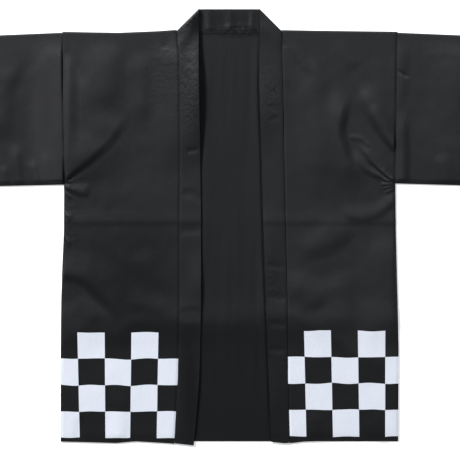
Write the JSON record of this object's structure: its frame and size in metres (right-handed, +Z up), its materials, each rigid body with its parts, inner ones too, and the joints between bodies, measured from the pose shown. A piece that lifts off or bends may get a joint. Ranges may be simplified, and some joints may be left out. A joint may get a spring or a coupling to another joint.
{
  "type": "happi coat",
  "caption": "Happi coat of black cloth laid flat: straight body, short wide square sleeves, a long folded collar strip down both open fronts, and a white check along the hem.",
  "frame": {"origin": "middle of the coat's outline, on the surface it lies on", "axes": "+X from the middle to the wearer's left cuff, +Y from the hem to the neck, +Z up out of the surface, the way the fronts face"},
  "size_m": [1.24, 0.8078, 0.0141],
  "materials": {
    "cloth": "black ribbed cloth with a soft sheen, checked in white along the hem",
    "collar": "the same cloth, doubled, with a soft sheen"
  },
  "bodies": {
    "root": {"back": "cloth", "front_right": "cloth", "front_left": "cloth", "sleeve_right": "cloth", "sleeve_left": "cloth", "collar": "collar"}
  },
  "joints": []
}
